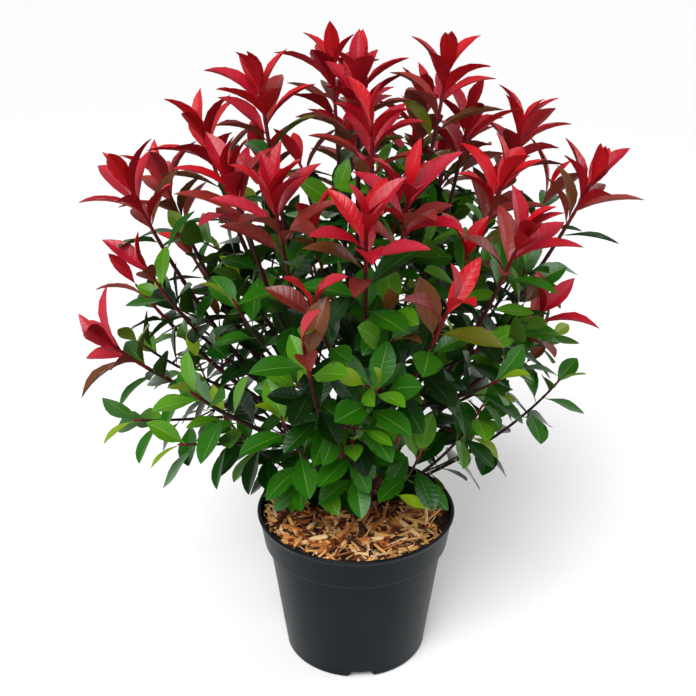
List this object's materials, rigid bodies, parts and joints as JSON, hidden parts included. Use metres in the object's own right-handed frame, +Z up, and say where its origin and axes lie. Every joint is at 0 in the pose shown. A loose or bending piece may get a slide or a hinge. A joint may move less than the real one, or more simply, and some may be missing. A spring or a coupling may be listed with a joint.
{
  "type": "potted red-tipped photinia shrub",
  "caption": "Bushy evergreen shrub whose shoots end in red leaves, growing in a round black nursery pot topped with shredded bark.",
  "frame": {"origin": "centre of the pot's flat underside, where it stands on the ground", "axes": "+Z up along the pot's axis, -Y towards the side that the picture shows, +X to that view's right"},
  "size_m": [0.7287, 0.6921, 0.8809],
  "materials": {
    "pot_plastic": "black moulded plastic with a satin sheen",
    "potting_soil": "moist dark potting mix",
    "bark_mulch": "shredded bark, tan to brown, matt",
    "bark": "smooth reddish-brown young bark",
    "foliage": "glossy leathery leaves, green below and red at the tips of the shoots"
  },
  "bodies": {
    "root": {"pot": "pot_plastic", "potting_soil": "potting_soil", "mulch": "bark_mulch", "trunk": "bark", "bough_left": "bark", "bough_left_high": "bark", "bough_front_left": "bark", "bough_top": "bark", "bough_front": "bark", "bough_right_high": "bark", "bough_right": "bark", "bough_back_right": "bark", "bough_back": "bark", "bough_back_left": "bark", "left_outer": "foliage", "left_rear": "foliage", "left_middle": "foliage", "left_low": "foliage", "left_peak": "foliage", "left_top": "foliage", "left_inner": "foliage", "front_left_high": "foliage", "front_left_low": "foliage", "front_left_outer": "foliage", "top_rear": "foliage", "top_middle": "foliage", "top_right": "foliage", "front_top": "foliage", "front_right_high": "foliage", "front_middle": "foliage", "front_right": "foliage", "right_top": "foliage", "right_peak": "foliage", "right_inner": "foliage", "right_outer": "foliage", "right_front": "foliage", "right_low": "foliage", "back_right_high": "foliage", "back_right_outer": "foliage", "back_right_low": "foliage", "back_top": "foliage", "back_middle": "foliage", "back_low": "foliage", "back_left_high": "foliage", "back_left_outer": "foliage", "back_left_low": "foliage", "skirt_left": "foliage", "skirt_front_left": "foliage", "skirt_front": "foliage", "skirt_front_right": "foliage", "skirt_right_front": "foliage", "skirt_right": "foliage", "skirt_back_right": "foliage", "skirt_back": "foliage", "skirt_back_left": "foliage", "skirt_left_back": "foliage"}
  },
  "joints": []
}
